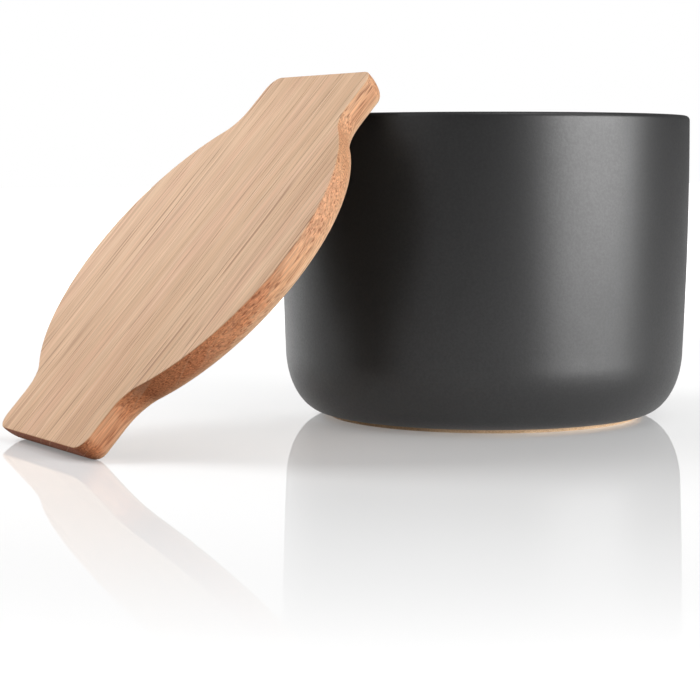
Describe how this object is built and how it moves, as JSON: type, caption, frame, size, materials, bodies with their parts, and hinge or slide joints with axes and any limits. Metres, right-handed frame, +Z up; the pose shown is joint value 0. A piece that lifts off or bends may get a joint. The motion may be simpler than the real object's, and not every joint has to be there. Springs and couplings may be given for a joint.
{
  "type": "salt cellar",
  "caption": "Round matt black stoneware salt cellar with a loose tabbed oak lid, stored taken off with its groove hooked on the rim.",
  "frame": {"origin": "on the table, under the middle of the box round the pot and the leaning lid; the pot's own axis is the vertical line at X 0.03664, Y 0", "axes": "+X from the leaning lid towards the pot, +Z up, +Y to the left when looking along +X"},
  "size_m": [0.1772, 0.104, 0.0856],
  "materials": {
    "stoneware": "matt charcoal glaze with a bare clay foot",
    "oak": "oiled, fine straight grain from tab to tab"
  },
  "bodies": {
    "pot": {"pot": "stoneware"},
    "lid": {"lid": "oak"}
  },
  "joints": [
    {"name": "lid_lift", "type": "slide", "parent": "pot", "child": "lid", "axis": [0, 0, 1], "range_m": [0, 0.12]}
  ]
}
